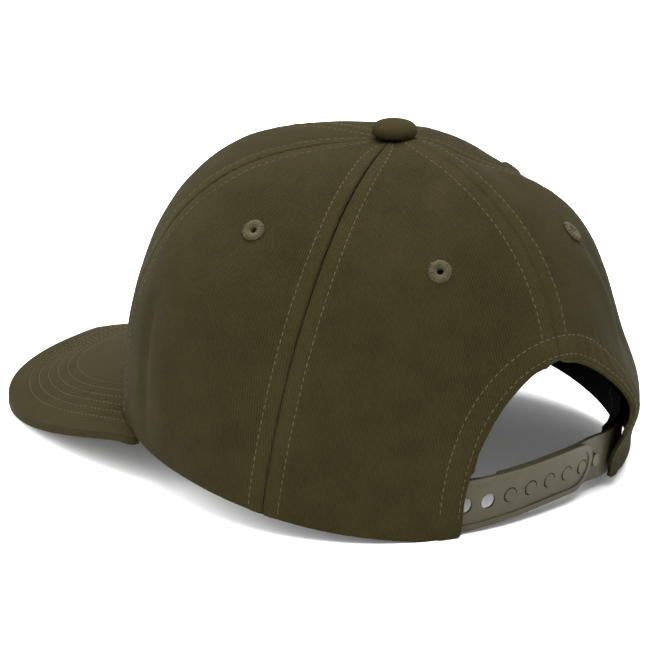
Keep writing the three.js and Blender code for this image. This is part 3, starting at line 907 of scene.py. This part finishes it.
def thread_finish(name, rgb, twist=2600.0):
    """Sewing thread, with a fine twist and small changes of tone."""
    nodes = Nodes(name)
    tone = (nodes.noise(380.0, 2.0) * 1.3 - 0.15).clamped()
    fibre = nodes.noise(twist, 2.0)
    return nodes.surface({
        "Base Color": nodes.blend(tone, opaque(rgb, 0.62), opaque(rgb, 1.25)),
        "Roughness": 0.68 + fibre * 0.2,
        "Normal": nodes.bump(0.5, 0.0001, fibre),
        "Specular IOR Level": 0.15,
        "Sheen Weight": 0.02,
    })


def band_finish(name, rgb):
    """The sweatband's plain close weave."""
    nodes = Nodes(name)
    warp, weft = ((way * (2 * math.pi / BAND_WEAVE)).sine() for way in nodes.weave())
    weave = (warp * weft * 0.5 + 0.5) * 0.7 + nodes.noise(700.0, 2.0) * 0.3
    return nodes.surface({
        "Base Color": nodes.blend(weave, opaque(rgb, 0.6), opaque(rgb, 1.9)),
        "Roughness": 0.95 - weave * 0.1,
        "Normal": nodes.bump(0.6, 0.0002, weave),
        "Specular IOR Level": 0.05,
    })


def plastic_finish(name, rgb):
    """Moulded plastic with a satin surface, slightly mottled."""
    nodes = Nodes(name)
    grain = nodes.noise(1500.0, 3.0)
    cloud = nodes.noise(60.0, 3.0)
    share = (cloud * 1.2 - 0.1).clamped()
    return nodes.surface({
        "Base Color": nodes.blend(share, opaque(rgb, 0.86), opaque(rgb, 1.14)),
        "Roughness": 0.42 + cloud * 0.12 + grain * 0.08,
        "Normal": nodes.bump(0.25, 0.00006, grain),
        "Specular IOR Level": 0.2,
    })


def floor_finish(name, rgb):
    nodes = Nodes(name)
    return nodes.surface({
        "Base Color": nodes.blend(nodes.noise(4.0, 2.0), opaque(rgb, 0.99), opaque(rgb, 1.01)),
        "Roughness": 0.9,
        "Specular IOR Level": 0.1,
        "Emission Color": opaque((1, 1, 1)),
        "Emission Strength": 0.08,
    })


def panel_twill():
    colours = settings("cap_colours")
    found = bpy.data.materials.get("Panel twill")
    return found or twill("Panel twill", colours.cloth, colours.cloth_dark)


def topstitch_thread():
    found = bpy.data.materials.get("Topstitch thread")
    return found or thread_finish("Topstitch thread", settings("cap_colours").thread)


# Operators


class CAP_OT_crown(bpy.types.Operator):
    """Model the crown's six cloth panels with their seams, hems and creases"""

    bl_idname = "cap.crown"
    bl_label = "Crown panels"

    def execute(self, context):
        crown = Crown()
        lines = []
        for index, name in enumerate(PANELS):
            cut = PanelCut(crown, index)
            relief, ridge = cut.relief()
            points = hitch(cut.points + cut.normals * relief[..., None])
            points[..., 2] = np.maximum(points[..., 2], TABLE_GAP)
            uv = crown.weave(cut.azimuth, cut.up, float(cut.azimuth[-1].mean()))
            bm = cloth_mesh(points, uv, ridge)
            self.open_eyelets(bm, crown)
            piece = finish(bm, name + "_cloth", name, panel_twill())
            thicken(piece, crown.size.cloth)
            width, length, area = cut.flat()
            lines += self.topstitching(cut, points)
        sew(lines, "crown_topstitching", topstitch_thread())
        return {"FINISHED"}

    def open_eyelets(self, bm, crown):
        """Takes the cloth out under the eyelets."""
        reach = settings("cap_trim").eyelet_radius * 0.62
        for eyelet in EYELETS:
            centre, _ = eyelet_place(crown, eyelet)
            faces = [f for f in bm.faces if (f.calc_center_median() - centre).length < reach]
            bmesh.ops.delete(bm, geom=faces, context="FACES")

    def topstitching(self, cut, points):
        """Places of the stitches beside both seams of a panel, and along the arch's hem."""
        hem = settings("cap_trim").hem_width
        beside = SEAM_COLUMNS.index(1)
        rows = slice(np.searchsorted(cut.from_rim[:, 0], 0.0012), len(points) - 4)
        found = []
        for column in (beside, -1 - beside):
            keep = cut.from_arch[rows, column] > hem
            line, facing = points[rows, column][keep], cut.normals[rows, column][keep]
            found.append(stitch_places(line, facing))
        if cut.back:
            found += [self.hem_row(cut, points, distance) for distance in (HEM_EDGE_ROW, hem)]
        return found

    def hem_row(self, cut, points, distance):
        """A row of stitches that follows the arch at a distance from its edge."""
        line, facing = [], []
        for column, gaps in enumerate(cut.from_arch.T):
            below = np.nonzero((gaps[:-1] <= distance) & (gaps[1:] > distance))[0]
            if len(below):
                i = below[0]
                share = (distance - gaps[i]) / (gaps[i + 1] - gaps[i])
                line.append(mix(points[i, column], points[i + 1, column], share))
                facing.append(cut.normals[i, column])
        return stitch_places(np.array(line), np.array(facing))


class PeakForm:
    """The peak's middle surface between its root under the crown and its free edge."""

    def __init__(self):
        self.crown = Crown()
        self.size = settings("cap_peak")
        corner = self.crown.rim(np.array(float(self.size.end)))
        self.corner = corner - (*self.crown.middle, 0)

    def edge(self, turn):
        """A point of the free edge's top for a turn from -90 to 90 degrees."""
        s = self.size
        past = np.clip((np.abs(turn) - 90) / TAIL_TURN, 0, 1)
        turn = np.clip(turn, -90, 90)
        angle = np.radians(turn)
        power = 2 / s.squareness
        across = np.sign(angle) * np.abs(np.sin(angle)) ** power
        forward = np.clip(np.cos(angle), 0, 1) ** power
        x = (self.corner[0] + s.lip) * across
        front = -self.crown.size.rim_length / 2 - s.reach
        y = mix(self.corner[1], front, forward)
        corner_rise = self.corner[2] - CORNER_DROP - s.thickness
        beyond = (np.abs(turn) - s.touch) / (90 - s.touch)
        before = (s.touch - np.abs(turn)) / s.touch
        rise = np.where(beyond > 0, corner_rise * beyond**2, s.front_rise * before**2)
        flat = np.stack([x, y], -1) + self.crown.middle
        point = np.concatenate([flat, (rise + s.thickness)[..., None]], -1)
        # past its corners the edge curves back and in until it meets the rim
        last = self.crown.rim((s.end + s.tail) * np.sign(across)) - self.edge_corner(across)
        angle = past * math.pi / 2
        point[..., 0] += last[..., 0] * (1 - np.cos(angle)) * np.sign(past)
        point[..., 1] += last[..., 1] * np.sin(angle)
        point[..., 2] += last[..., 2] * past
        return point

    def edge_corner(self, side):
        """The free edge's end before its tail, on the left for 1 and on the right for -1."""
        x = self.crown.middle[0] + (self.corner[0] + self.size.lip) * np.sign(side)
        y = self.corner[1] + self.crown.middle[1]
        return np.stack([x, y + 0 * x, self.corner[2] - CORNER_DROP + 0 * x], -1)

    def root(self, turn):
        past = np.clip((np.abs(turn) - 90) / TAIL_TURN, 0, 1) * self.size.tail
        azimuth = self.size.end * np.clip(turn, -90, 90) / 90 + np.sign(turn) * past
        point = self.crown.smooth(azimuth, 0 * azimuth)
        out = self.crown.normal(azimuth, 0 * azimuth)
        out[..., 2] = 0
        point = point - unit(out) * self.crown.size.cloth
        # pressed up against the crown's cloth
        point[..., 2] += 0.0002
        return point

    def top(self, turn, share):
        point = mix(self.root(turn), self.edge(turn), share[..., None])
        # the cloth is drawn a little over the board between its root and its edge
        swell = 4 * share * (1 - share) * np.cos(np.radians(np.clip(turn, -89, 89))) ** 0.5
        point[..., 2] += 0.0006 * swell
        return point


class CAP_OT_peak(bpy.types.Operator):
    """Model the stiff peak, its cloth and its rows of topstitching"""

    bl_idname = "cap.peak"
    bl_label = "Peak"

    def execute(self, context):
        form = PeakForm()
        size = form.size
        turn = np.linspace(-90 - TAIL_TURN, 90 + TAIL_TURN, PEAK_COLUMNS)
        outline = form.edge(np.linspace(turn[0], turn[-1], OUTLINE_POINTS))
        rows = [size.row_margin + i * size.row_spacing for i in range(size.row_count)]
        stops = [*PEAK_EDGE_STOPS, *(row + stop for row in rows for stop in ROW_STOPS)]
        shares = self.shares_at(form, turn, outline, np.array(stops), crowded=True)
        inner = shares[-1] * np.linspace(1, 0, 14)[1:, None]
        shares = np.concatenate([shares, inner])[::-1]
        top = form.top(np.broadcast_to(turn, shares.shape), shares)
        from_edge = nearest(top * (1, 1, 0), outline * (1, 1, 0))
        groove = sum(bell(from_edge - row, ROW_GROOVE["width"]) for row in rows)
        groove = groove * ROW_GROOVE["depth"]
        quilt = unevenness(top, **UNEVEN_PEAK) * smoothstep(from_edge, 0.001, 0.006)
        upper, lower = top.copy(), top.copy()
        upper[..., 2] += quilt - groove
        lower[..., 2] = np.maximum(top[..., 2] - size.thickness + groove, TABLE_GAP)
        colours = settings("cap_colours")
        cloth = twill("Peak twill", colours.cloth, colours.cloth_dark, lean=-1.0, contrast=0.35)
        piece = finish(self.shell(upper, lower), "peak_cloth", "peak", cloth)
        round_edges(piece, width=0.00085, segments=4, degrees=50)
        width = float(outline[:, 0].max() - outline[:, 0].min())
        area = grid_area(top)
        length = float(form.root(np.array([0.0]))[0, 1] - outline[:, 1].min()) * PEAK_LAID_FLAT
        lines = [self.stitch_row(form, turn, outline, row) for row in rows]
        sew(lines, "peak_topstitching", topstitch_thread())
        return {"FINISHED"}

    def stitch_row(self, form, turn, outline, row):
        """A row of stitches at a distance from the edge, half sunk in its groove."""
        shares = self.shares_at(form, turn, outline, np.array([row]))[0]
        keep = np.isfinite(shares)
        line = form.top(turn[keep], shares[keep]) - (0, 0, 0.0002)
        return stitch_places(line, np.tile((0.0, 0.0, 1.0), (len(line), 1)), sink=0.5)

    def shares_at(self, form, turn, outline, stops, crowded=False):
        """For each turn, the shares of the way to the edge at given distances from the edge.

        Where there is no room for a distance it is left out, or crowded in before the root.
        """
        tries = np.linspace(1, 0, 160)
        grid_turn, grid_share = np.meshgrid(turn, tries)
        flat = form.top(grid_turn, grid_share) * (1, 1, 0)
        gaps = np.maximum.accumulate(nearest(flat, outline * (1, 1, 0)), axis=0)
        shares = np.empty((len(stops), len(turn)))
        for column in range(len(turn)):
            rising = gaps[:, column] + np.arange(len(tries)) * 1e-9
            room = rising[-1]
            wanted = stops
            if crowded:
                free = 0.5 * room
                share = (stops - free) / max(stops[-1] - free, 1e-6)
                squeezed = np.minimum(stops, free + 0.45 * room * share)
                wanted = np.where(stops > free, squeezed, stops)
            shares[:, column] = np.interp(wanted, rising, tries)
            if not crowded:
                shares[stops > room, column] = np.nan
        return shares

    def shell(self, top, underside):
        """Both faces of the peak, joined by its edges."""
        rows, columns = top.shape[:2]
        bm, order = grid_mesh(columns, rows)
        first = set(order)
        bmesh.ops.solidify(bm, geom=bm.faces[:], thickness=0.0)
        second = [v for v in bm.verts if v not in first]
        second.sort(key=lambda v: (round(v.co.y, 6), round(v.co.x, 6)))
        for i, (low, high) in enumerate(zip(order, second)):
            low.co = underside.reshape(-1, 3)[i]
            high.co = top.reshape(-1, 3)[i]
        weave_from_above(bm)
        if bm.calc_volume(signed=True) < 0:
            bmesh.ops.reverse_faces(bm, faces=bm.faces[:])
        return bm


class CAP_OT_sweatband(bpy.types.Operator):
    """Model the sweatband inside the rim"""

    bl_idname = "cap.sweatband"
    bl_label = "Sweatband"

    def execute(self, context):
        crown = Crown()
        trim = settings("cap_trim")
        end = float(crown.arch_edge(40)[0][0]) - 1.5
        rows = np.array(BAND_ROWS) / BAND_ROWS[-1] * trim.band_height
        azimuth, above = np.meshgrid(np.linspace(-end, end, 400), rows)
        height = crown.rim(azimuth)[..., 2] + BAND_RISE + above
        up = crown.up_at(azimuth, height)
        points = crown.smooth(azimuth, up)
        out = unit(crown.normal(azimuth, up) * (1, 1, 0))
        depth = crown.size.cloth + BAND_GAP
        near_end = smoothstep(np.abs(azimuth), end - BAND_STEP["from"], end - BAND_STEP["to"])
        depth = depth + BAND_STEP["in"] * near_end
        follow = smoothstep(-azimuth, end - BAND_FOLLOW["degrees"], end)
        follow = follow * smoothstep(height, BAND_FOLLOW["low"], BAND_FOLLOW["high"])
        depth = depth - BAND_FOLLOW["out"] * follow
        depth = depth + 0.0004 * bell(above - BAND_ROWS[BAND_RIDGE_ROW], 0.0007)
        depth = depth + UNEVEN_BAND["push"] + unevenness(points, **UNEVEN_BAND)
        points -= out * depth[..., None]
        points[..., 2] = height
        points = hitch(points)
        bm = cloth_mesh(points, np.stack([lengths(points), above], -1))
        colours = settings("cap_colours")
        cloth = band_finish("Band cloth", colours.band)
        piece = finish(bm, "sweatband_cloth", "sweatband", cloth)
        thicken(piece, trim.band_thickness)
        inward = -out[BAND_RIDGE_ROW]
        line = points[BAND_RIDGE_ROW] + inward * (trim.band_thickness + 0.0001)
        thread = thread_finish("Band thread", colours.band_thread)
        sew([stitch_places(line, inward)], "band_stitching", thread)
        return {"FINISHED"}


class CAP_OT_button(bpy.types.Operator):
    """Model the cloth-covered button on top"""

    bl_idname = "cap.button"
    bl_label = "Button"

    def execute(self, context):
        trim = settings("cap_trim")
        radius, height = trim.button_radius, trim.button_height
        low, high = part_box("top_button")
        bm = bmesh.new()
        spin(bm, self.profile(radius, height), 64)
        self.pleat(bm, radius, height)
        weave_from_above(bm)
        middle = (low + high) / 2
        place = Matrix.Translation((middle.x, middle.y, high.z - height))
        bmesh.ops.transform(bm, matrix=place, verts=bm.verts[:])
        colours = settings("cap_colours")
        light = tuple(c * 1.1 for c in colours.cloth)
        cloth = twill("Button twill", light, colours.cloth_dark, contrast=0.15)
        finish(bm, "top_button_cloth", "top_button", cloth)
        return {"FINISHED"}

    def profile(self, radius, height):
        """Half of the button from its post under the crown to the middle of its top."""
        foot, waist = BUTTON["foot"], BUTTON["waist"] * height
        post, deep = BUTTON["post"], -BUTTON["post_depth"]
        points = [(0.0, deep), (post, deep), (post, foot), (radius * 0.86, foot)]
        for angle in np.radians(np.linspace(-55, 0, 6)):
            z = foot + (waist - foot) * (1 + math.sin(angle) / 0.82)
            points.append((radius * math.cos(angle) ** 0.22, z))
        for angle in np.radians(np.linspace(0, 90, 14))[1:-1]:
            z = waist + (height - waist) * math.sin(angle) ** 0.95
            points.append((radius * math.cos(angle) ** 0.72, z))
        return [*points, (0.0, height)]

    def pleat(self, bm, radius, height):
        """Gathers the cloth in small pleats round the button's lower edge."""
        for vertex in bm.verts:
            flat = Vector((vertex.co.x, vertex.co.y, 0))
            if flat.length > 0.5 * radius:
                gathered = max(0.0, 1 - vertex.co.z / (0.45 * height))
                wave = math.sin(BUTTON["pleats"] * math.atan2(flat.y, flat.x))
                vertex.co += flat.normalized() * BUTTON["pleat"] * wave * gathered


class CAP_OT_eyelets(bpy.types.Operator):
    """Embroider the four eyelets"""

    bl_idname = "cap.eyelets"
    bl_label = "Eyelets"

    def execute(self, context):
        crown = Crown()
        trim = settings("cap_trim")
        thread = thread_finish("Eyelet thread", settings("cap_colours").eyelet, 1800.0)
        for i, eyelet in enumerate(EYELETS):
            centre, out = eyelet_place(crown, eyelet)
            bm = bmesh.new()
            spin(bm, self.ring(trim), 36, closed=True)
            self.thread_loops(bm, trim, np.random.default_rng(i + 1))
            turn = Vector((0, 0, 1)).rotation_difference(out).to_matrix().to_4x4()
            bmesh.ops.transform(bm, matrix=Matrix.Translation(centre) @ turn, verts=bm.verts[:])
            node = "eyelet_" + eyelet["name"]
            finish(bm, node + "_thread", node, thread)
        return {"FINISHED"}

    def ring(self, trim):
        """Profile of the closed ring under the thread, down through the cloth."""
        bore, radius, top = trim.eyelet_bore, trim.eyelet_radius, trim.eyelet_raise
        low = -settings("cap_crown").cloth - 0.0004
        return [
            (bore, low), (radius * 0.9, low), (radius * 0.9, low + 0.0003),
            (bore + 0.0008, low + 0.0003), (bore + 0.0008, -0.0001), (radius * 0.92, -0.0001),
            (radius * 0.92, top * 0.3), (mix(bore, radius, 0.5), top * 0.7), (bore, top * 0.3),
        ]

    def thread_loops(self, bm, trim, random):
        """Thread passed over the ring again and again, side by side."""
        for i in range(EYELET_LOOPS):
            made = bmesh.ops.create_icosphere(bm, subdivisions=2, radius=0.5)
            reach = trim.eyelet_radius * (1 + 0.05 * random.standard_normal()) - trim.eyelet_bore
            scale = Matrix.Diagonal((reach * 1.02, LOOP_WIDTH, LOOP_HEIGHT, 1))
            raise_by = trim.eyelet_raise * (0.82 + 0.1 * random.random())
            for vertex in made["verts"]:
                vertex.co = scale @ vertex.co
                across = vertex.co.x / reach * 2
                vertex.co.z += raise_by * (1 - across * across) - 0.00005
                vertex.co.x += reach / 2 + trim.eyelet_bore
            angle = 2 * math.pi * (i + 0.25 * random.standard_normal()) / EYELET_LOOPS
            lean = Matrix.Rotation(angle, 4, "Z") @ Matrix.Rotation(0.06, 4, "X")
            bmesh.ops.transform(bm, matrix=lean, verts=made["verts"])


class CAP_OT_straps(bpy.types.Operator):
    """Finish the moulded halves of the snap strap"""

    bl_idname = "cap.straps"
    bl_label = "Snap strap"

    def execute(self, context):
        plastic = plastic_finish("Strap plastic", settings("cap_colours").plastic)
        for node in ("snap_strap_outer", "snap_strap_inner"):
            bm = bmesh.new()
            bm.from_mesh(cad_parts[node].data)
            bmesh.ops.remove_doubles(bm, verts=bm.verts[:], dist=1e-5)
            bmesh.ops.dissolve_limit(bm, angle_limit=math.radians(1.5), verts=bm.verts[:],
                                     edges=bm.edges[:])
            raised = hitch(np.array([v.co for v in bm.verts]))
            for vertex, place in zip(bm.verts, raised):
                vertex.co = place
            piece = finish(bm, node + "_moulding", node, plastic)
            round_edges(piece, width=0.0002, segments=2, degrees=SHARP)
            piece.data.set_sharp_from_angle(angle=math.radians(SHARP))
        return {"FINISHED"}


class CAP_OT_stage(bpy.types.Operator):
    """Set the floor, the lights and the camera"""

    bl_idname = "cap.stage"
    bl_label = "Stage"

    def execute(self, context):
        stage = settings("cap_stage")
        bm = bmesh.new()
        bmesh.ops.create_grid(bm, x_segments=8, y_segments=8, size=12)
        mesh = bpy.data.meshes.new("floor")
        bm.to_mesh(mesh)
        bm.free()
        floor = placed("floor", mesh)
        mesh.materials.append(floor_finish("Pale floor", settings("cap_colours").floor))
        world = bpy.data.worlds.new("Studio")
        world.use_nodes = True
        background = world.node_tree.nodes["Background"]
        background.inputs[0].default_value = (1, 1, 1, 1)
        background.inputs[1].default_value = 0.8
        context.scene.world = world
        lamps = {light["name"]: self.light(**light) for light in LIGHTS}
        only_floor = bpy.data.collections.new("Lit by the spill")
        only_floor.objects.link(floor)
        lamps["spill"].light_linking.receiver_collection = only_floor
        self.camera(context, stage)
        context.scene.view_settings.view_transform = "Standard"
        context.scene.view_settings.look = "None"
        return {"FINISHED"}

    def light(self, name, place, size, power):
        data = bpy.data.lights.new(name, "AREA")
        data.shape = "DISK"
        data.size = size
        data.energy = power
        lamp = placed(name, data)
        lamp.location = place
        aim = Vector(LIGHT_AIM) - Vector(place)
        lamp.rotation_mode = "QUATERNION"
        lamp.rotation_quaternion = aim.to_track_quat("-Z", "Y")
        return lamp

    def camera(self, context, stage):
        azimuth, elevation = math.radians(stage.azimuth), math.radians(stage.elevation)
        back = Vector((
            math.sin(azimuth) * math.cos(elevation),
            -math.cos(azimuth) * math.cos(elevation),
            math.sin(elevation),
        ))
        data = bpy.data.cameras.new("camera")
        camera = placed("camera", data)
        data.sensor_width = 36
        data.lens = stage.lens
        data.clip_start = 0.05
        data.clip_end = 60
        camera.location = Vector(CAMERA_PIVOT) + back * stage.distance
        aim = Vector(CAMERA_AIM) - camera.location
        roll = Quaternion((0, 0, 1), math.radians(stage.roll))
        camera.rotation_mode = "QUATERNION"
        camera.rotation_quaternion = aim.to_track_quat("-Z", "Y") @ roll
        context.scene.camera = camera


class CAP_PT_sidebar(bpy.types.Panel):
    """Everything that the cap is made of"""

    bl_label = "Panelled cap"
    bl_idname = "CAP_PT_sidebar"
    bl_space_type = "VIEW_3D"
    bl_region_type = "UI"
    bl_category = "Cap"

    def draw(self, context):
        column = self.layout.column()
        for operator in OPERATORS:
            column.operator(operator.bl_idname)
        for name in GROUPS:
            group = getattr(context.scene, name)
            box = column.box()
            for key in group.__annotations__:
                box.prop(group, key)


GROUPS = {
    "cap_crown": CapCrownSizes,
    "cap_peak": CapPeakSizes,
    "cap_trim": CapTrimSizes,
    "cap_colours": CapColours,
    "cap_stage": CapStageSettings,
}
OPERATORS = (
    CAP_OT_stage,
    CAP_OT_crown,
    CAP_OT_peak,
    CAP_OT_sweatband,
    CAP_OT_button,
    CAP_OT_eyelets,
    CAP_OT_straps,
)


def register():
    for name, group in GROUPS.items():
        bpy.utils.register_class(group)
        setattr(bpy.types.Scene, name, PointerProperty(type=group))
    for cls in (*OPERATORS, CAP_PT_sidebar):
        bpy.utils.register_class(cls)


def unregister():
    for cls in (CAP_PT_sidebar, *reversed(OPERATORS)):
        bpy.utils.unregister_class(cls)
    for name, group in reversed(GROUPS.items()):
        delattr(bpy.types.Scene, name)
        bpy.utils.unregister_class(group)


def main():
    register()
    bpy.ops.cap.stage()
    bpy.ops.cap.crown()
    bpy.ops.cap.peak()
    bpy.ops.cap.sweatband()
    bpy.ops.cap.button()
    bpy.ops.cap.eyelets()
    bpy.ops.cap.straps()


if __name__ == "__main__":
    main()
